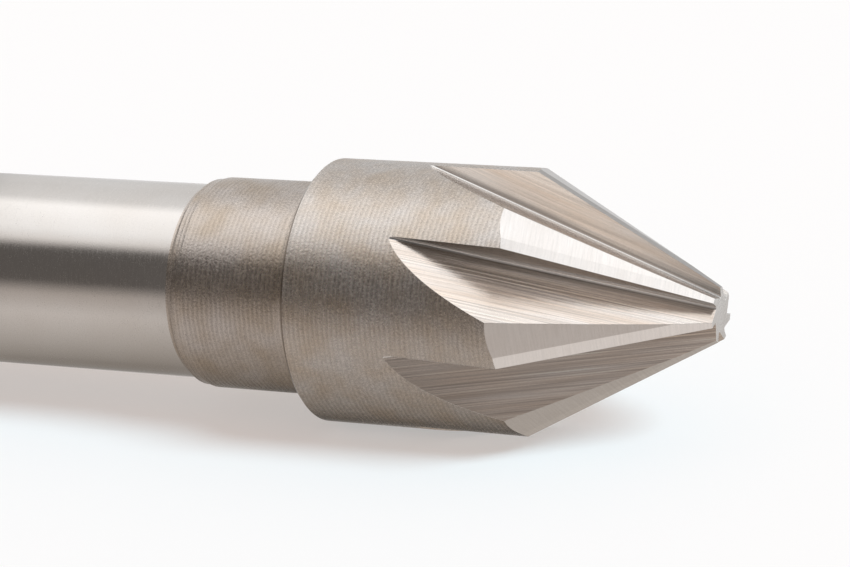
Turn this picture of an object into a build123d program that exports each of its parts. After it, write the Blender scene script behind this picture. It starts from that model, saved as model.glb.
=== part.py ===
from build123d import *
import os
from math import acos, cos, degrees, radians, sin, tan

# One-piece countersink bit: a plain shank, a slightly larger neck, and a fluted head that ends in a
# 60 degree cone. It stands on the end of its shank, with its axis on Z and its tip up.
# The first cutting edge lies above +X. Sizes are in millimetres and degrees.

# The turned body
overall_length = 50.8
shank_diameter = 9.525
neck_diameter = 10.3
head_diameter = 12.7
head_length = 10.8           # the cylindrical length of the head, from its back rim to the shoulder
neck_length = 6.45
cone_angle = 60              # included angle of the point
tip_diameter = 2.6           # the flat left at the end of the point
end_chamfer = 0.8            # round the free end of the shank
head_rim_chamfer = 0.16
head_fillet = 0.9            # in the corner between the neck and the back of the head
neck_fillet = 0.4            # leaves the shank smoothly and meets the rim of the neck at an edge
neck_rim_length = 0.15       # the low rim round the back of the neck
neck_rim_slope = 0.42        # the shallow slope from that rim up to the neck
neck_rim_depth = 0.1

# The flutes
flute_count = 7
hook_angle = 5               # how far each rake face leans in under its cutting edge
rake_depth_at_shoulder = 2.21
rake_depth_at_tip = 0.53
flute_angle = 71.5           # between the rake face and the back face, at the root
back_face_radius = 29        # the back face is very slightly hollow
back_face_sweep = 14         # how far round that radius the wheel reaches
root_fillet = 0.1

# The lands behind the cutting edges
margin_width = 0.54          # the narrow first land along the cutting edge
margin_relief = 7
heel_relief = 16             # the wider land behind the margin falls away faster
relief_width = 2.8           # how far back the land is ground, which is past its heel

shank_radius = shank_diameter / 2
neck_radius = neck_diameter / 2
head_radius = head_diameter / 2
tip_radius = tip_diameter / 2
half_angle = radians(cone_angle / 2)
cone_length = (head_radius - tip_radius) / tan(half_angle)
shoulder_height = overall_length - cone_length
head_height = shoulder_height - head_length
neck_height = head_height - neck_length
rim_radius = neck_radius - neck_rim_depth
neck_fillet_turn = acos(1 - (rim_radius - shank_radius) / neck_fillet)
run_out = head_diameter      # how far each cutting wheel carries on outside the steel

# The blank, turned about Z
with BuildPart() as blank:
    with BuildSketch(Plane.XZ):
        with BuildLine():
            corner_start = (shank_radius, neck_height - neck_fillet * sin(neck_fillet_turn))
            corner = JernArc(corner_start, (0, 1), neck_fillet, -degrees(neck_fillet_turn))
            Polyline(
                corner @ 1,
                (rim_radius, neck_height + neck_rim_length),
                (neck_radius, neck_height + neck_rim_length + neck_rim_slope),
                (neck_radius, head_height),
                (head_radius, head_height),
                (head_radius, shoulder_height),
                (tip_radius, overall_length),
                (0, overall_length),
                (0, 0),
                (shank_radius, 0),
                corner @ 0,
            )
        make_face()
    revolve(axis=Axis.Z)
    rims = blank.edges().filter_by(GeomType.CIRCLE)
    head_rim = rims.sort_by_distance((head_radius, 0, head_height))[0]
    head_corner = rims.sort_by_distance((neck_radius, 0, head_height))[0]
    chamfer(rims.sort_by(Axis.Z)[0], end_chamfer)
    chamfer(head_rim, head_rim_chamfer)
    fillet(head_corner, head_fillet)

# The cutting edge above +X, from the shoulder to the tip
edge_start = Vector(head_radius, 0, shoulder_height)
edge_end = Vector(tip_radius, 0, overall_length)
edge_direction = (edge_end - edge_start).normalized()
out_of_cone = (cos(half_angle), 0, sin(half_angle))

# The root of its flute runs straight up the foot of the rake face, and nears the axis at the tip
down_the_rake = Vector(-cos(radians(hook_angle)), -sin(radians(hook_angle)), 0)
root_start = edge_start + down_the_rake * rake_depth_at_shoulder
root_end = edge_end + down_the_rake * rake_depth_at_tip
root_direction = (root_end - root_start).normalized()
out_of_rake = down_the_rake.cross(edge_direction)
up_the_rake = out_of_rake.cross(root_direction).normalized()

# One flute, as the space that its wheel sweeps along the root
with BuildPart() as flute:
    with BuildSketch(Plane(origin=root_start, x_dir=up_the_rake, z_dir=root_direction)) as section:
        with BuildLine():
            back_foot = (cos(radians(flute_angle)), sin(radians(flute_angle)))
            back_face = JernArc((0, 0), back_foot, back_face_radius, -back_face_sweep)
            heel_side = (back_face @ 1).Y
            Polyline(back_face @ 1, (run_out, heel_side), (run_out, 0), (0, 0))
        make_face()
        fillet(section.vertices().sort_by_distance((0, 0))[0], root_fillet)
    extrude(amount=cone_length + run_out, both=True)

# One land, as the steel that is ground away behind the edge: the margin, then on past the heel
with BuildPart() as relief:
    with BuildSketch(Plane(origin=edge_start, x_dir=out_of_cone, z_dir=edge_direction)):
        with BuildLine():
            margin_drop = margin_width * tan(radians(margin_relief))
            heel_drop = margin_drop + (relief_width - margin_width) * tan(radians(heel_relief))
            Polyline(
                (margin_drop, margin_width),
                (-margin_drop, -margin_width),
                (-heel_drop, -relief_width),
                (head_radius, -relief_width),
                (head_radius, margin_width),
                close=True,
            )
        make_face()
    extrude(amount=cone_length + run_out, both=True)

# The teeth, cut into the blank
with BuildPart() as countersink:
    add(blank)
    with PolarLocations(0, flute_count):
        add(relief, mode=Mode.SUBTRACT)
        add(flute, mode=Mode.SUBTRACT)

countersink.part.label = "countersink_bit"

os.makedirs("parts", exist_ok=True)
export_step(countersink.part, "parts/countersink_bit.step")
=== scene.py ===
from math import acos, cos, hypot, pi, radians, sin, tan

import bmesh
import bpy
from mathutils import Matrix, Vector


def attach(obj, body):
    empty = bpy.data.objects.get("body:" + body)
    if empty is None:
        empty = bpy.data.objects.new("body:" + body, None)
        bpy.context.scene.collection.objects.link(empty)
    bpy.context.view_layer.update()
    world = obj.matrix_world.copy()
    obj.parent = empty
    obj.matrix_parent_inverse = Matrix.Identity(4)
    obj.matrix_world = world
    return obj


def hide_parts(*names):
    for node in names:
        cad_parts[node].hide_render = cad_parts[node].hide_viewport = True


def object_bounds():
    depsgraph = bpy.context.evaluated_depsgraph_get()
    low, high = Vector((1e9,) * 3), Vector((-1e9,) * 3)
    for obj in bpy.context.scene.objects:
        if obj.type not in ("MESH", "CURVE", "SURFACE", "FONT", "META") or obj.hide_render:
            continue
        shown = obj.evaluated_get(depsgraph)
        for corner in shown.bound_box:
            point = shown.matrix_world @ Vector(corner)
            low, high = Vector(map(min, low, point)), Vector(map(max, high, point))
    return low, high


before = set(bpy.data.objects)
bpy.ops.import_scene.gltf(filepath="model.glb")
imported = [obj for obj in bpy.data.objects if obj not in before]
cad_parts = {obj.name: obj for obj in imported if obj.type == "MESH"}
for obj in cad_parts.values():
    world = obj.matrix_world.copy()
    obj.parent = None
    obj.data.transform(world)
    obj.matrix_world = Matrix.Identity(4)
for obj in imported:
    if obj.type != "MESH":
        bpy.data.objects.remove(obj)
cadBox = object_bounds()
mm = 0.001
micron = 0.000001

bitSize = {  # the tool itself, in millimetres and degrees
    "shankDiameter": 9.525,
    "neckDiameter": 10.3,
    "headDiameter": 12.7,
    "headLength": 10.8,
    "neckLength": 6.45,
    "coneAngle": 60,
    "tipDiameter": 2.6,
    "endChamfer": 0.8,
    "headRimChamfer": 0.16,
    "neckRimLength": 0.15,  # the low rim behind the neck, then the slope up to the neck
    "neckRimSlope": 0.42,
    "neckRimDepth": 0.1,
    "neckFillet": 0.4,
    "headFillet": 0.9,
    "filletSteps": 18,
    "roundSteps": 336,  # sides round the turned body
    "sharpAngle": 8,  # edges that turn more than this stay crisp
    "mergeDistance": 0.002,
}
overallLength = (cadBox[1][2] - cadBox[0][2]) / mm
halfAngle = radians(bitSize["coneAngle"] / 2)
headRadius = bitSize["headDiameter"] / 2
tipRadius = bitSize["tipDiameter"] / 2
shoulderHeight = overallLength - (headRadius - tipRadius) / tan(halfAngle)

cameraSet = {
    "turn": 9.05,  # degrees round the tool, from the view along +Y
    "elevation": 23.73,
    "roll": 93.69,  # puts the tip to the right
    "distance": 161.25,
    "aimBelowShoulder": 6.2,
    "aimAside": -0.56,
    "lens": 143.05,
    "clipStart": 1,
}


def placeCamera():
    turn = Matrix.Rotation(radians(cameraSet["turn"]), 3, "Z")
    tilt = Matrix.Rotation(radians(90 - cameraSet["elevation"]), 3, "X")
    roll = Matrix.Rotation(radians(cameraSet["roll"]), 3, "Z")
    facing = turn @ tilt @ roll
    aim = turn @ Vector((cameraSet["aimAside"], 0, shoulderHeight - cameraSet["aimBelowShoulder"]))
    stand = (aim + facing.col[2] * cameraSet["distance"]) * mm
    camera = bpy.data.objects.new("camera", bpy.data.cameras.new("camera"))
    camera.data.lens = cameraSet["lens"]
    camera.data.clip_start = cameraSet["clipStart"] * mm
    camera.matrix_world = Matrix.Translation(stand) @ facing.to_4x4()
    bpy.context.scene.collection.objects.link(camera)
    bpy.context.scene.camera = camera


placeCamera()
print("camera placed")


# small helpers for node trees and round meshes

def addNode(tree, kind, inputs=None, **settings):
    # each input is a socket to link or a plain value
    node = tree.nodes.new(kind)
    for key, value in settings.items():
        setattr(node, key, value)
    for key, value in (inputs or {}).items():
        if isinstance(value, bpy.types.NodeSocket):
            tree.links.new(value, node.inputs[key])
        else:
            node.inputs[key].default_value = value
    return node


def addMath(tree, operation, *values):
    return addNode(tree, "ShaderNodeMath", dict(enumerate(values)), operation=operation).outputs[0]


def addVectorMath(tree, operation, *values):
    return addNode(tree, "ShaderNodeVectorMath", dict(enumerate(values)), operation=operation)


def addScaled(tree, vector, factor):
    node = addNode(tree, "ShaderNodeVectorMath", {"Vector": vector, "Scale": factor}, operation="SCALE")
    return node.outputs["Vector"]


def addJoined(tree, **parts):
    return addNode(tree, "ShaderNodeCombineXYZ", parts).outputs[0]


def addRange(tree, value, low, high, outLow=0.0, outHigh=1.0, smooth=False):
    kind = "SMOOTHSTEP" if smooth else "LINEAR"
    inputs = {"Value": value, "From Min": low, "From Max": high, "To Min": outLow, "To Max": outHigh}
    return addNode(tree, "ShaderNodeMapRange", inputs, interpolation_type=kind).outputs["Result"]


def addMix(tree, factor, first, second, blend="MIX"):
    inputs = {0: factor, 6: first, 7: second}  # where the Mix node keeps its sockets for colours
    return addNode(tree, "ShaderNodeMix", inputs, data_type="RGBA", blend_type=blend).outputs[2]


def addShaderMix(tree, factor, first, second):
    inputs = {0: factor, 1: first, 2: second}
    return addNode(tree, "ShaderNodeMixShader", inputs).outputs[0]


def addRamp(tree, value, stops):
    node = addNode(tree, "ShaderNodeValToRGB", {"Fac": value})
    elements = node.color_ramp.elements
    middle = 0.5
    while len(elements) < len(stops):
        elements.new(middle)
    for element, (place, _) in zip(elements, stops):
        element.position = place
    for element, (_, colour) in zip(elements, stops):
        element.color = colour
    return node.outputs["Color"]


def newMaterial(name):
    material = bpy.data.materials.new(name)
    material.use_nodes = True
    material.node_tree.nodes.clear()
    return material, material.node_tree


def newGroup(name, inputs, outputs):
    # inputs and outputs name each socket and its kind
    group = bpy.data.node_groups.new(name, "ShaderNodeTree")
    for direction, sockets in (("INPUT", inputs), ("OUTPUT", outputs)):
        for label, kind in sockets.items():
            group.interface.new_socket(label, in_out=direction, socket_type=f"NodeSocket{kind}")
    return group, group.nodes.new("NodeGroupInput").outputs, group.nodes.new("NodeGroupOutput").inputs


def useGroup(tree, name, inputs):
    return addNode(tree, "ShaderNodeGroup", inputs, node_tree=bpy.data.node_groups[name]).outputs


def addRing(bm, radius, height, steps):
    # corners round the tool's axis, or a single one on it
    ring = []
    for i in range(steps if radius > 0 else 1):
        angle = 2 * pi * i / steps
        ring.append(bm.verts.new(Vector((radius * cos(angle), radius * sin(angle), height)) * mm))
    return ring


# studio: a pale floor runs along the tool, and the lamp and the sky light only that floor
# metal shows none of the three but a painted tent, and plain white through the tent's open top and hole

studioSet = {
    "white": 0.975,
    "floorSize": 1500,
    "floorTilt": 22,  # between the floor and the line of sight
    "floorGap": 0.02,
    "floorColour": (0.9, 0.9, 0.9, 1),
    "floorGlow": 0.4,  # share of the floor's look that is plain white, the rest keeps the shadow
    "skyColour": (0.62, 0.385, 0.28, 1),
    "lampColour": (0.616, 0.877, 1),
    "lampStrength": 3.65,
    "lampSpread": 24,
    "lampTurn": -56,  # round the tool, from the camera
    "lampHeight": 45,
}


def roundTool(turn, height=0):
    # the direction at a turn from the camera and a height above the level
    turn = radians(turn + cameraSet["turn"])
    height = radians(height)
    return Vector((sin(turn) * cos(height), -cos(turn) * cos(height), sin(height)))


def plainBackground(tree):
    # 1 where the camera, metal or glass looks straight at the background
    path = addNode(tree, "ShaderNodeLightPath").outputs
    seen = addMath(tree, "MAXIMUM", path["Is Camera Ray"], path["Is Glossy Ray"])
    return addMath(tree, "MAXIMUM", seen, path["Is Transmission Ray"])


def floorPaper():
    material, tree = newMaterial("paleFloor")
    matt = addNode(tree, "ShaderNodeBsdfDiffuse", {"Color": studioSet["floorColour"]}).outputs[0]
    glow = addNode(tree, "ShaderNodeEmission", {"Strength": studioSet["white"]}).outputs[0]
    share = addMath(tree, "MULTIPLY", plainBackground(tree), studioSet["floorGlow"])
    clear = addNode(tree, "ShaderNodeBsdfTransparent").outputs[0]
    under = addNode(tree, "ShaderNodeNewGeometry").outputs["Backfacing"]  # open from below
    paper = addShaderMix(tree, under, addShaderMix(tree, share, matt, glow), clear)
    addNode(tree, "ShaderNodeOutputMaterial", {"Surface": paper})
    return material


def layFloor():
    bpy.ops.mesh.primitive_plane_add(size=studioSet["floorSize"] * mm)
    floor = bpy.context.object
    floor.name = "floor"
    upward = roundTool(studioSet["floorTilt"] - 90)
    below = -upward * (headRadius + studioSet["floorGap"])
    facing = upward.to_track_quat("Z", "Y").to_matrix().to_4x4()
    floor.matrix_world = Matrix.Translation(below * mm) @ facing
    floor.data.materials.append(floorPaper())
    floor.visible_glossy = False  # metal shows the tent here, not the floor


def lightSky():
    world = bpy.data.worlds.new("studio")
    bpy.context.scene.world = world
    world.use_nodes = True
    tree = world.node_tree
    tree.nodes.clear()
    plain = (studioSet["white"],) * 3 + (1,)
    colour = addMix(tree, plainBackground(tree), studioSet["skyColour"], plain)
    glow = addNode(tree, "ShaderNodeBackground", {"Color": colour})
    addNode(tree, "ShaderNodeOutputWorld", {"Surface": glow.outputs[0]})


def hangLamp():
    light = bpy.data.lights.new("softLamp", "SUN")
    light.energy = studioSet["lampStrength"]
    light.color = studioSet["lampColour"]
    light.angle = radians(studioSet["lampSpread"])
    lamp = bpy.data.objects.new("softLamp", light)
    away = roundTool(studioSet["lampTurn"], studioSet["lampHeight"])
    lamp.rotation_euler = away.to_track_quat("Z", "Y").to_euler()
    lamp.visible_glossy = False  # so the lamp adds nothing to the steel
    bpy.context.scene.collection.objects.link(lamp)


# not plain light: the levels and tints are fitted to the tone wanted on each face from this one camera
# without the tent the steel looks far lighter, and other cameras see tones that nobody fitted
tentSet = {  # light and tint are given at degrees round the tool, 0 towards the camera
    "radius": 110,
    "height": 220,
    "hole": 4.2,  # radius left open under the shank
    "lift": 0.2,
    "steps": 128,
    "foot": [  # round the tool's foot, before the first band
        (-180, 0.7), (-130, 0.5), (-60, 0.3), (-20, 0.15), (15, 0.15), (40, 0.36), (110, 0.36),
        (180, 0.5),
    ],
    "bands": {  # where each starts and how softly, out over the floor and then up the wall
        "mat": {"side": "floor", "start": 15, "blend": 2, "light": [
            (-180, 0.75), (-140, 0.6), (-110, 0.2), (-30, 0.1), (10, 0.1), (40, 0.36), (110, 0.36),
            (180, 0.5),
        ]},
        "near": {"side": "floor", "start": 23, "blend": 3, "light": [
            (-180, 0.86), (-120, 0.74), (-92, 0.84), (-80, 1.46), (-46, 1.18), (-36, 1.02), (-26, 0.1),
            (11, 0.1), (25, 0.52), (50, 0.66), (95, 0.42), (125, 0.27), (180, 0.5),
        ]},
        "mid": {"side": "floor", "start": 57, "blend": 4, "light": [
            (-180, 0.66), (-140, 0.6), (-110, 0.46), (-94, 0.6), (-78, 1.22), (-46, 1.08), (-34, 0.76),
            (-21, 0.12), (14, 0.08), (30, 0.2), (48, 0.24), (90, 0.24), (120, 0.17), (145, 0.1),
            (156, 0.12), (180, 0.6),
        ]},
        "far": {"side": "floor", "start": 76, "blend": 4, "light": [
            (-180, 0.8), (-140, 0.62), (-110, 0.58), (-94, 0.8), (-78, 1.46), (-46, 1.24), (-32, 0.98),
            (-19, 0.24), (10, 0.2), (27, 0.44), (45, 0.54), (90, 0.42), (120, 0.3), (142, 0.1),
            (154, 0.1), (164, 0.75), (180, 0.85),
        ]},
        "skirt": {"side": "wall", "start": 1, "blend": 4, "light": [
            (-180, 0.8), (-160, 0.6), (-147, 0.4), (-130, 0.6), (-92, 0.66), (-50, 0.66), (-30, 0.3),
            (-22, 0.1), (14, 0.12), (30, 0.3), (45, 0.44), (90, 0.34), (120, 0.26), (142, 0.1),
            (154, 0.1), (164, 0.7), (180, 0.8),
        ]},
        "ledge": {"side": "wall", "start": 23, "blend": 3, "light": [
            (-180, 0.8), (-160, 0.6), (-147, 0.4), (-130, 0.7), (-92, 0.95), (-60, 1.1), (-48, 0.9),
            (-38, 0.5), (-8, 0.4), (-2, 0.2), (30, 0.25), (60, 0.4), (118, 0.36), (180, 0.7),
        ]},
        "middle": {"side": "wall", "start": 41, "blend": 4, "light": [
            (-180, 0.7), (-158, 0.5), (-146, 0.4), (-130, 0.9), (-95, 1.16), (-78, 1.12), (-62, 1.3),
            (-57, 1.3), (-53, 0.8), (-46, 0.72), (-38, 0.7), (-30, 0.6), (-18, 0.3), (0, 0.18),
            (14, 0.2), (22, 0.18), (28, 0.12), (33, 0.05), (37, 0.05), (40, 0.4), (43, 1), (48, 1.1),
            (62, 0.7), (118, 0.42), (180, 0.5),
        ]},
        "upper": {"side": "wall", "start": 61, "blend": 4, "light": [
            (-180, 0.7), (-110, 0.95), (-90, 1.1), (-70, 1.1), (-62, 0.6), (-55, 0.08), (-51, 0.03),
            (-22, 0.03), (-6, 0.06), (11, 0.04), (18, 0.1), (25, 0.16), (31, 0.32), (38, 0.3),
            (44, 0.24), (60, 0.45), (118, 0.42), (180, 0.5),
        ]},
        "top": {"side": "wall", "start": 70, "blend": 1.5, "light": [
            (-180, 0.7), (-110, 0.95), (-90, 1.2), (-70, 1.1), (-62, 0.6), (-55, 0.08), (-51, 0.03),
            (-22, 0.03), (-12, 0.1), (-5, 0.7), (2, 0.2), (10, 0.34), (18, 0.33), (26, 0.28), (32, 0.3),
            (44, 0.26), (60, 0.45), (118, 0.42), (180, 0.5),
        ]},
        "high": {"side": "wall", "start": 95, "blend": 5, "light": [
            (-180, 0.7), (-110, 1), (-95, 1.18), (-76, 1.22), (-68, 1.14), (-52, 1.06), (-40, 0.3),
            (-14, 0.1), (10, 0.1), (18, 0.36), (24, 0.5), (46, 0.75), (90, 0.6), (180, 0.7),
        ]},
    },
    "tint": [
        (-180, (1, 1, 1, 1)), (-45, (1, 1, 1, 1)), (-20, (1, 0.93, 0.88, 1)), (24, (1, 0.91, 0.85, 1)),
        (44, (1, 0.94, 0.9, 1)), (90, (1, 0.93, 0.87, 1)), (132, (1, 0.91, 0.82, 1)),
        (165, (1, 0.96, 0.93, 1)),
    ],
}


def tentPaper():
    material, tree = newMaterial("tentPaper")
    place = addNode(tree, "ShaderNodeTexCoord").outputs["Object"]
    fromCamera = {"Vector": place, "Angle": radians(-cameraSet["turn"])}
    turned = addNode(tree, "ShaderNodeVectorRotate", fromCamera, rotation_type="Z_AXIS").outputs[0]
    parts = addNode(tree, "ShaderNodeSeparateXYZ", {"Vector": turned}).outputs
    around = addMath(tree, "ARCTAN2", parts["X"], addMath(tree, "MULTIPLY", parts["Y"], -1))
    around = addRange(tree, around, -pi, pi)
    level = addJoined(tree, X=parts["X"], Y=parts["Y"])
    travel = {"floor": addVectorMath(tree, "LENGTH", level).outputs["Value"], "wall": parts["Z"]}

    def ring(stops):
        return addRamp(tree, around, [((angle + 180) / 360, colour) for angle, colour in stops])

    def greyRing(stops):
        return ring([(angle, (shade, shade, shade, 1)) for angle, shade in stops])

    light = greyRing(tentSet["foot"])
    for band in tentSet["bands"].values():
        low = (band["start"] - band["blend"]) * mm
        high = (band["start"] + band["blend"]) * mm
        share = addRange(tree, travel[band["side"]], low, high, smooth=True)
        light = addMix(tree, share, light, greyRing(band["light"]))
    light = addMix(tree, 1, light, ring(tentSet["tint"]), "MULTIPLY")
    glow = addNode(tree, "ShaderNodeEmission", {"Color": light})
    addNode(tree, "ShaderNodeOutputMaterial", {"Surface": glow.outputs[0]})
    return material


def standTent():
    outer, lift, steps = tentSet["radius"], tentSet["lift"], tentSet["steps"]
    bm = bmesh.new()
    rings = [
        addRing(bm, tentSet["hole"], lift, steps),
        addRing(bm, outer, lift, steps),
        addRing(bm, outer, tentSet["height"], steps),
    ]
    for low, high in zip(rings, rings[1:]):
        for i in range(steps):
            j = (i + 1) % steps
            bm.faces.new((low[i], low[j], high[j], high[i]))
    mesh = bpy.data.meshes.new("paperTent")
    bm.to_mesh(mesh)
    bm.free()
    mesh.materials.append(tentPaper())
    tent = bpy.data.objects.new("paperTent", mesh)
    bpy.context.scene.collection.objects.link(tent)
    for ray in ("camera", "diffuse", "transmission", "volume_scatter", "shadow"):
        setattr(tent, f"visible_{ray}", False)


layFloor()
lightSky()
hangLamp()
standTent()
print("studio set")


# shader groups: places are in millimetres, across and then along the tool marks

textureSet = {  # ranges say which part of a noise is stretched to run from 0 to 1
    "lineDetail": 3,
    "lineRoughness": 0.6,
    "lineRange": (0.3, 0.7),
    "patchDetail": 2,
    "patchRange": (0.32, 0.68),
    "fleckRange": (0.5, 0.72),
    "driftScale": 0.9,
    "driftDetail": 2,
    "edgeRadius": 0.02,
    "fullWear": 0.93,  # cosine between the face and its rounded edge, where wear is full and where none
    "noWear": 0.999,
    "darkCorner": 0.35,  # share of open air, where the painted corner shade is full and where none
    "openFace": 0.8,
    "shadingSamples": 6,
}


def addNoise(tree, place, scale, detail, **more):
    inputs = {"Vector": place, "Scale": scale, "Detail": detail, **more}
    return addNode(tree, "ShaderNodeTexNoise", inputs).outputs["Fac"]


def makeGrindLines():
    # long fine scratches, stretched along the marks
    sockets = {"Place": "Vector", "Across": "Float", "Along": "Float"}
    group, given, out = newGroup("grindLines", sockets, {"Lines": "Float"})
    stretch = addJoined(group, X=given["Across"], Y=given["Along"], Z=given["Along"])
    place = addVectorMath(group, "MULTIPLY", given["Place"], stretch).outputs[0]
    noise = addNoise(group, place, 1, textureSet["lineDetail"], Roughness=textureSet["lineRoughness"])
    group.links.new(addRange(group, noise, *textureSet["lineRange"]), out["Lines"])


def makePatches():
    # soft cloudy patches for stain and grain
    sockets = {"Place": "Vector", "Per Millimetre": "Float"}
    group, given, out = newGroup("patches", sockets, {"Amount": "Float", "Flecks": "Float"})
    noise = addNoise(group, given["Place"], given["Per Millimetre"], textureSet["patchDetail"])
    group.links.new(addRange(group, noise, *textureSet["patchRange"]), out["Amount"])
    group.links.new(addRange(group, noise, *textureSet["fleckRange"]), out["Flecks"])


def makeFeedMarks():
    # the fine screw line that a lathe tool leaves, uneven from turn to turn
    sockets = {"Place": "Vector", "Turns": "Float", "Pitch": "Float", "Wander": "Float"}
    group, given, out = newGroup("feedMarks", sockets, {"Ridge": "Float"})
    travel = addNode(group, "ShaderNodeSeparateXYZ", {"Vector": given["Place"]}).outputs["X"]
    noise = addNoise(group, given["Place"], textureSet["driftScale"], textureSet["driftDetail"])
    drift = addMath(group, "MULTIPLY", noise, given["Wander"])
    turn = addMath(group, "ADD", addMath(group, "DIVIDE", travel, given["Pitch"]), given["Turns"])
    angle = addMath(group, "MULTIPLY", addMath(group, "ADD", turn, drift), 2 * pi)
    group.links.new(addRange(group, addMath(group, "SINE", angle), -1, 1), out["Ridge"])


def makeEdgeWearAndCornerShade():
    # rounds the edges in the shading, marks them for wear, and marks the corners that get painted shade
    sockets = {"Edge": "Float", "Corner": "Float", "Normal": "Vector"}
    group, given, out = newGroup("edgeWearAndCornerShade", {"Corner Reach": "Float"}, sockets)
    samples = textureSet["shadingSamples"]
    radius = {"Radius": textureSet["edgeRadius"] * mm}
    rounded = addNode(group, "ShaderNodeBevel", radius, samples=samples).outputs[0]
    flat = addNode(group, "ShaderNodeNewGeometry").outputs["Normal"]
    same = addVectorMath(group, "DOT_PRODUCT", rounded, flat).outputs["Value"]
    edge = addRange(group, same, textureSet["fullWear"], textureSet["noWear"], 1, 0)
    reach = {"Distance": given["Corner Reach"]}
    openAir = addNode(group, "ShaderNodeAmbientOcclusion", reach, samples=samples).outputs["AO"]
    corner = addRange(group, openAir, textureSet["darkCorner"], textureSet["openFace"], 1, 0)
    group.links.new(edge, out["Edge"])
    group.links.new(corner, out["Corner"])
    group.links.new(rounded, out["Normal"])


makeGrindLines()
makePatches()
makeFeedMarks()
makeEdgeWearAndCornerShade()

# steel finishes: depths are in microns, and lines and grain are counted per millimetre
everyFinish = {  # what each finish has unless it says otherwise
    "turned": False,
    "cornerReach": 0.55,
    "edgeShine": (0.9, 0.88, 0.86, 1),
    "lineFade": 2,  # how fast roughness falls between the lines
    "pitch": 0.2,
    "wander": 0.5,
    "ridgeContrast": 0,
    "ridgeDepth": 0,
    "ridgeRough": 0,
    "grainScale": 8,
    "grainDepth": 0,
    "fleckRough": 0,
    "anisotropic": 0.4,
    "paintedCornerShade": 0,
}
latheTurned = {
    **everyFinish,
    "turned": True,
    "across": 9, "along": 0.6, "lineContrast": 0.09, "lineDepth": 0.5, "lineRough": 0.2,
    "anisotropic": 0.3,
}
feedMarked = {
    **latheTurned,
    "pitch": 0.245, "ridgeContrast": 0.08, "ridgeDepth": 7, "ridgeRough": 0.3,
    "grainScale": 11, "grainDepth": 5, "fleckRough": 0.9,
}
steelSet = {
    "groundShank": {
        **everyFinish,
        "turned": True,
        "colour": (0.86, 0.825, 0.795, 1), "stain": (0.82, 0.775, 0.735, 1), "stainScale": 0.25,
        "across": 15, "along": 1.5, "lineContrast": 0.05, "lineDepth": 0.3, "lineRough": 0.6,
        "grainScale": 16, "grainContrast": 0.04, "grainDepth": 0.5, "fleckRough": 0.7,
        "roughness": (0.12, 0.3), "anisotropic": 0.6, "paintedCornerShade": 0.2,
    },
    "turnedBody": {
        **feedMarked,
        "colour": (0.768, 0.712, 0.67, 1), "stain": (0.712, 0.612, 0.52, 1), "stainScale": 0.6,
        "grainContrast": 0.28, "roughness": (0.2, 0.46), "paintedCornerShade": 0.45,
    },
    "turnedNeck": {
        **feedMarked,
        "colour": (0.7, 0.632, 0.586, 1), "stain": (0.6, 0.505, 0.418, 1), "stainScale": 0.5,
        "grainContrast": 0.3, "roughness": (0.2, 0.44), "paintedCornerShade": 0.6,
    },
    # painted shade: the head's back rim chamfer is coloured far darker than the steel round it
    "turnedRimPaintedShade": {
        **latheTurned,
        "colour": (0.4, 0.35, 0.31, 1), "stain": (0.34, 0.29, 0.25, 1), "stainScale": 0.7,
        "grainScale": 14, "grainContrast": 0.16, "grainDepth": 1, "fleckRough": 0.5,
        "roughness": (0.2, 0.4), "paintedCornerShade": 0.3,
    },
    "fluteBack": {
        **everyFinish,
        "colour": (0.88, 0.822, 0.78, 1), "stain": (0.8, 0.68, 0.585, 1), "stainScale": 1.6,
        "across": 13, "along": 0.1, "lineContrast": 0.62, "lineDepth": 3, "lineRough": 1,
        "grainContrast": 0.03, "roughness": (0.13, 0.26), "paintedCornerShade": 0.4,
    },
    "fluteRake": {
        **everyFinish,
        "colour": (0.91, 0.845, 0.785, 1), "stain": (0.86, 0.855, 0.85, 1), "stainScale": 1.1,
        "across": 13, "along": 0.12, "lineContrast": 0.3, "lineDepth": 1.5, "lineRough": 1,
        "grainContrast": 0.03, "roughness": (0.1, 0.2), "paintedCornerShade": 0.6,
    },
    # painted highlight: the root fillet is coloured lighter than the flute faces so its line reads
    # brighter
    "fluteRoot": {
        **everyFinish,
        "colour": (0.94, 0.92, 0.9, 1), "stain": (0.84, 0.8, 0.77, 1), "stainScale": 0.9,
        "across": 8, "along": 0.1, "lineContrast": 0.1, "lineDepth": 0.2, "lineRough": 1,
        "grainContrast": 0.02, "roughness": (0.1, 0.16), "anisotropic": 0.2,
    },
    "land": {
        **everyFinish,
        "colour": (0.87, 0.84, 0.82, 1), "stain": (0.83, 0.79, 0.76, 1), "stainScale": 0.6,
        "across": 9, "along": 0.5, "lineContrast": 0.1, "lineDepth": 0.3, "lineRough": 0.6,
        "grainContrast": 0.02, "roughness": (0.14, 0.2),
    },
    "facedEnd": {
        **everyFinish,
        "turned": True,
        "colour": (0.84, 0.82, 0.8, 1), "stain": (0.76, 0.73, 0.7, 1), "stainScale": 0.5,
        "across": 10, "along": 0.6, "lineContrast": 0.12, "lineDepth": 0.3, "lineRough": 0.5,
        "pitch": 0.12, "ridgeContrast": 0.1, "ridgeDepth": 1, "ridgeRough": 0.2,
        "grainScale": 9, "grainContrast": 0.06, "grainDepth": 0.4, "fleckRough": 0.2,
        "roughness": (0.26, 0.36), "anisotropic": 0.3, "paintedCornerShade": 0.2,
    },
}


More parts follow.
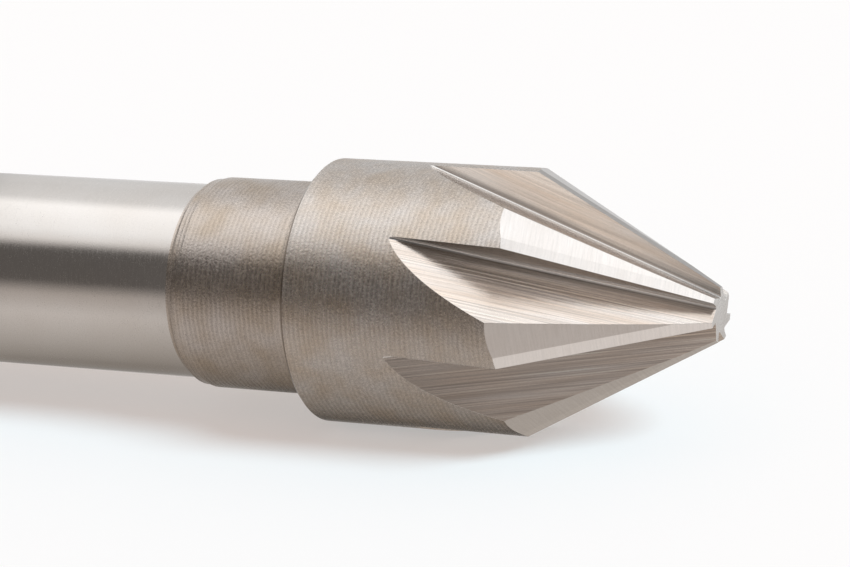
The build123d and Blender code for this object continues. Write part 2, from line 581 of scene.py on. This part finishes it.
def surfaceMarks(tree, values):
    # turned faces use x and y along the marks, so that nothing breaks where the map closes
    marks = addNode(tree, "ShaderNodeUVMap", uv_map="marks").outputs["UV"]
    across, along = addNode(tree, "ShaderNodeSeparateXYZ", {"Vector": marks}).outputs[:2]
    turns = addMath(tree, "DIVIDE", along, 2 * pi * headRadius)
    body = addNode(tree, "ShaderNodeTexCoord").outputs["Object"]
    bodyPlace = addVectorMath(tree, "MULTIPLY", body, (1 / mm,) * 3).outputs[0]
    if values["turned"]:
        parts = addNode(tree, "ShaderNodeSeparateXYZ", {"Vector": bodyPlace}).outputs
        place = addJoined(tree, X=across, Y=parts["X"], Z=parts["Y"])
        clouds = {"Place": bodyPlace, "Per Millimetre": values["stainScale"]}
        stain = useGroup(tree, "patches", clouds)["Amount"]
    else:
        place = addJoined(tree, X=across, Y=along)
        streaks = {"Place": place, "Across": values["stainScale"], "Along": values["along"]}
        stain = useGroup(tree, "grindLines", streaks)["Lines"]
    scratches = {"Place": place, "Across": values["across"], "Along": values["along"]}
    lines = useGroup(tree, "grindLines", scratches)["Lines"]
    feed = {"Place": place, "Turns": turns, "Pitch": values["pitch"], "Wander": values["wander"]}
    ridge = useGroup(tree, "feedMarks", feed)["Ridge"]
    grainSize = {"Place": bodyPlace, "Per Millimetre": values["grainScale"]}
    grain, flecks = useGroup(tree, "patches", grainSize)
    return stain, lines, ridge, grain, flecks


def steelFinish(name):
    values = steelSet[name]
    material, tree = newMaterial(name)
    stain, lines, ridge, grain, flecks = surfaceMarks(tree, values)
    wearAndShade = useGroup(tree, "edgeWearAndCornerShade", {"Corner Reach": values["cornerReach"] * mm})

    colour = addMix(tree, stain, values["colour"], values["stain"])
    # the feed marks' valleys are coloured darker, partly dirt and partly painted shade
    for mask, label in ((lines, "lineContrast"), (ridge, "ridgeContrast"), (grain, "grainContrast")):
        swing = values[label] / 2
        colour = addScaled(tree, colour, addRange(tree, mask, 0, 1, 1 - swing, 1 + swing))
    # painted shade: the colour darkens in corners and hollows that see little open air
    colour = addScaled(tree, colour, addRange(tree, wearAndShade["Corner"], 0, 1, 1, 1 - values["paintedCornerShade"]))
    colour = addMix(tree, wearAndShade["Edge"], colour, values["edgeShine"])

    valley = addMath(tree, "SUBTRACT", 1, ridge)
    fade = addMath(tree, "POWER", lines, values["lineFade"])
    worn = addMath(tree, "MULTIPLY", fade, values["lineRough"])
    worn = addMath(tree, "MULTIPLY_ADD", valley, values["ridgeRough"], worn)
    worn = addMath(tree, "MULTIPLY_ADD", flecks, values["fleckRough"], worn)
    roughness = addRange(tree, worn, 0, 1, *values["roughness"])

    height = addMath(tree, "MULTIPLY", lines, values["lineDepth"])
    height = addMath(tree, "MULTIPLY_ADD", ridge, values["ridgeDepth"], height)
    height = addMath(tree, "MULTIPLY_ADD", grain, values["grainDepth"], height)
    relief = {"Distance": micron, "Height": height, "Normal": wearAndShade["Normal"]}
    bump = addNode(tree, "ShaderNodeBump", relief).outputs[0]
    tangent = addNode(tree, "ShaderNodeTangent", direction_type="UV_MAP", uv_map="marks").outputs[0]
    steel = addNode(tree, "ShaderNodeBsdfPrincipled", {
        "Base Color": colour,
        "Metallic": 1,
        "Roughness": roughness,
        "Anisotropic": values["anisotropic"],
        "Normal": bump,
        "Tangent": tangent,
    })
    addNode(tree, "ShaderNodeOutputMaterial", {"Surface": steel.outputs[0]})


finishes = list(steelSet)
finishNumber = {name: i for i, name in enumerate(finishes)}
for name in finishes:
    steelFinish(name)
print("finishes made:", len(finishes))


# turned blank: a profile of radius, height and the finish of the band that follows

def hollowCorner(radius, height, size, rise, finish):
    # a fillet that leaves a cylinder and ends where it has risen far enough to meet the step above
    last = acos(1 - min(rise / size, 1))
    points = []
    for i in range(bitSize["filletSteps"] + 1):
        angle = i / bitSize["filletSteps"] * last
        drop = size * (sin(last) - sin(angle))
        points.append((radius + size * (1 - cos(angle)), height - drop, finish))
    return points


def blankProfile():
    size = bitSize
    shankRadius = size["shankDiameter"] / 2
    neckRadius = size["neckDiameter"] / 2
    rimRadius = neckRadius - size["neckRimDepth"]
    headBack = shoulderHeight - size["headLength"]
    neckBack = headBack - size["neckLength"]
    rimTop = neckBack + size["neckRimLength"]
    return [
        (0, 0, "facedEnd"),
        (shankRadius - size["endChamfer"], 0, "groundShank"),
        (shankRadius, size["endChamfer"], "groundShank"),
        *hollowCorner(shankRadius, neckBack, size["neckFillet"], rimRadius - shankRadius, "turnedNeck"),
        (rimRadius, rimTop, "turnedNeck"),
        (neckRadius, rimTop + size["neckRimSlope"], "turnedNeck"),
        *hollowCorner(neckRadius, headBack, size["headFillet"], headRadius - neckRadius, "turnedNeck"),
        (headRadius - size["headRimChamfer"], headBack, "turnedRimPaintedShade"),
        (headRadius, headBack + size["headRimChamfer"], "turnedBody"),
        (headRadius, shoulderHeight, "turnedBody"),
        (tipRadius, overallLength, "facedEnd"),
        (0, overallLength, None),
    ]


def turnBlank():
    points = blankProfile()
    steps = bitSize["roundSteps"]
    bm = bmesh.new()
    marks = bm.loops.layers.uv.new("marks")
    rings = [addRing(bm, radius, height, steps) for radius, height, _ in points]
    across = 0
    for low, high, start, end in zip(rings, rings[1:], points, points[1:]):
        length = hypot(end[0] - start[0], end[1] - start[1])
        for i in range(steps):
            j = (i + 1) % steps
            corners = [
                (low[i % len(low)], across, i),
                (low[j % len(low)], across, i + 1),
                (high[j % len(high)], across + length, i + 1),
                (high[i % len(high)], across + length, i),
            ]
            if len(low) == 1:  # a face at the axis has one corner fewer
                corners.pop(1)
            if len(high) == 1:
                corners.pop(3)
            face = bm.faces.new([corner for corner, _, _ in corners])
            face.material_index = finishNumber[start[2]]
            for loop, (_, side, step) in zip(face.loops, corners):
                loop[marks].uv = (side, step / steps * 2 * pi * headRadius)
        across += length
    bmesh.ops.recalc_face_normals(bm, faces=bm.faces)
    return bm


fluteCut = {  # the space that a flute wheel sweeps
    "count": 7,
    "hookAngle": 5,
    "rakeDepthAtShoulder": 2.21,
    "rakeDepthAtTip": 0.53,
    "fluteAngle": 71.5,
    "backFaceRadius": 29,
    "backFaceSweep": 14,
    "backFaceSteps": 40,
    "rootFillet": 0.1,
    "rootSteps": 16,
    "runOut": 12.7,
}
landCut = {  # the steel ground away behind a cutting edge
    "marginWidth": 0.54,
    "marginRelief": 7,
    "heelRelief": 16,
    "reliefWidth": 2.8,
}
edgeStart = Vector((headRadius, 0, shoulderHeight))
edgeEnd = Vector((tipRadius, 0, overallLength))
edgeDirection = (edgeEnd - edgeStart).normalized()
coneLength = overallLength - shoulderHeight


def cutterMesh(section, along, xDirection, origin, marksAlong):
    # a prism swept both ways along its root, with the marks' map on each side
    zDirection = along.normalized()
    yDirection = zDirection.cross(xDirection)
    reach = coneLength + fluteCut["runOut"]
    bm = bmesh.new()
    marks = bm.loops.layers.uv.new("marks")
    ends = []
    for distance in (-reach, reach):
        ends.append([
            bm.verts.new((origin + xDirection * x + yDirection * y + zDirection * distance) * mm)
            for x, y, _ in section
        ])
    across = 0
    for i, (x, y, finish) in enumerate(section):
        j = (i + 1) % len(section)
        width = hypot(section[j][0] - x, section[j][1] - y)
        face = bm.faces.new((ends[0][i], ends[0][j], ends[1][j], ends[1][i]))
        face.material_index = finishNumber[finish]
        places = ((across, -reach), (across + width, -reach), (across + width, reach), (across, reach))
        for loop, (side, length) in zip(face.loops, places):
            loop[marks].uv = (side, length) if marksAlong else (length, side)
        across += width
    bm.faces.new(ends[0])
    bm.faces.new(ends[1])
    bmesh.ops.recalc_face_normals(bm, faces=bm.faces)
    return bm


def fluteSection():
    # the flute seen along its root, with the rake face along x: x, y and the finish that follows
    angle = radians(fluteCut["fluteAngle"])
    back = Vector((cos(angle), sin(angle)))
    bulge = Vector((sin(angle), -cos(angle)))  # towards the centre of the hollow back face
    radius = fluteCut["backFaceRadius"]
    centre = bulge * radius
    fillet = fluteCut["rootFillet"]
    setBack = fillet / tan(angle / 2)
    filletCentre = Vector((setBack, fillet))
    section = []
    steps = fluteCut["rootSteps"]
    for i in range(steps + 1):  # from the rake face round to the back face
        turn = -pi / 2 - (pi - angle) * i / steps
        spot = filletCentre + Vector((cos(turn), sin(turn))) * fillet
        section.append((spot.x, spot.y, "fluteRoot" if i < steps else "fluteBack"))
    sweep = radians(fluteCut["backFaceSweep"])
    first = setBack / radius
    steps = fluteCut["backFaceSteps"]
    for i in range(1, steps + 1):
        turn = first + (sweep - first) * i / steps
        spot = centre + back * radius * sin(turn) - bulge * radius * cos(turn)
        section.append((spot.x, spot.y, "fluteBack" if i < steps else "fluteRake"))
    section.append((fluteCut["runOut"], section[-1][1], "fluteRake"))
    section.append((fluteCut["runOut"], 0, "fluteRake"))
    return section


def fluteCutter():
    hook = radians(fluteCut["hookAngle"])
    downTheRake = Vector((-cos(hook), -sin(hook), 0))
    rootStart = edgeStart + downTheRake * fluteCut["rakeDepthAtShoulder"]
    rootEnd = edgeEnd + downTheRake * fluteCut["rakeDepthAtTip"]
    rootDirection = (rootEnd - rootStart).normalized()
    upTheRake = downTheRake.cross(edgeDirection).cross(rootDirection).normalized()
    return cutterMesh(fluteSection(), rootDirection, upTheRake, rootStart, marksAlong=True)


def landCutter():
    margin, relief = landCut["marginWidth"], landCut["reliefWidth"]
    marginDrop = margin * tan(radians(landCut["marginRelief"]))
    heelDrop = marginDrop + (relief - margin) * tan(radians(landCut["heelRelief"]))
    section = [
        (marginDrop, margin, "land"),
        (-marginDrop, -margin, "land"),
        (-heelDrop, -relief, "land"),
        (headRadius, -relief, "land"),
        (headRadius, margin, "land"),
    ]
    outward = Vector((cos(halfAngle), 0, sin(halfAngle)))
    return cutterMesh(section, edgeDirection, outward, edgeStart, marksAlong=False)


def meshObject(name, bm):
    mesh = bpy.data.meshes.new(name)
    bm.to_mesh(mesh)
    bm.free()
    piece = bpy.data.objects.new(name, mesh)
    bpy.context.scene.collection.objects.link(piece)
    for finish in finishes:
        mesh.materials.append(bpy.data.materials[finish])
    return piece


def turnedCopy(cutter, number):
    # one of the seven cuts, with its own stretch of the marks' map
    copy = cutter.copy()
    turn = Matrix.Rotation(2 * pi * number / fluteCut["count"], 3, "Z")
    bmesh.ops.rotate(copy, verts=copy.verts, matrix=turn)
    marks = copy.loops.layers.uv["marks"]
    for face in copy.faces:
        for loop in face.loops:
            loop[marks].uv += Vector((overallLength, overallLength)) * number
    return copy


def smoothShade(piece):
    # round faces get the true normals of the turned surface, and cut faces are smooth up to their edges
    mesh = piece.data
    mesh.shade_smooth()
    mesh.set_sharp_from_angle(angle=radians(bitSize["sharpAngle"]))
    normals = [Vector(corner.vector) for corner in mesh.corner_normals]
    for face in mesh.polygons:
        if not steelSet[finishes[face.material_index]]["turned"]:
            continue
        outward = hypot(face.normal.x, face.normal.y)
        for corner, loop in zip(face.vertices, face.loop_indices):
            spot = mesh.vertices[corner].co
            if hypot(spot.x, spot.y) > mm:
                level = Vector((spot.x, spot.y, 0)).normalized() * outward
                normals[loop] = Vector((level.x, level.y, face.normal.z))
            else:
                normals[loop] = face.normal.copy()
    mesh.normals_split_custom_set(normals)


def grindBit():
    bit = meshObject("countersinkBit", turnBlank())
    cutters = []
    for name, cutter in (("landWheel", landCutter()), ("fluteWheel", fluteCutter())):
        for i in range(fluteCut["count"]):
            wheel = meshObject(f"{name}{i}", turnedCopy(cutter, i))
            cutters.append(wheel)
            cut = bit.modifiers.new(wheel.name, "BOOLEAN")
            cut.operation = "DIFFERENCE"
            cut.solver = "MANIFOLD"
            cut.object = wheel
        cutter.free()
    bpy.context.view_layer.update()
    ground = bpy.data.meshes.new_from_object(bit.evaluated_get(bpy.context.evaluated_depsgraph_get()))
    bit.modifiers.clear()
    bit.data = ground
    for wheel in cutters:
        bpy.data.objects.remove(wheel)
    cleaned = bmesh.new()
    cleaned.from_mesh(ground)
    bmesh.ops.remove_doubles(cleaned, verts=cleaned.verts, dist=bitSize["mergeDistance"] * mm)
    cleaned.to_mesh(ground)
    cleaned.free()
    smoothShade(bit)
    return bit


bit = grindBit()
print("bit ground:", len(bit.data.polygons), "faces")
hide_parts("countersink_bit")
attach(bit, "root")

bpy.context.scene.view_settings.view_transform = "Standard"
print("bit finished")
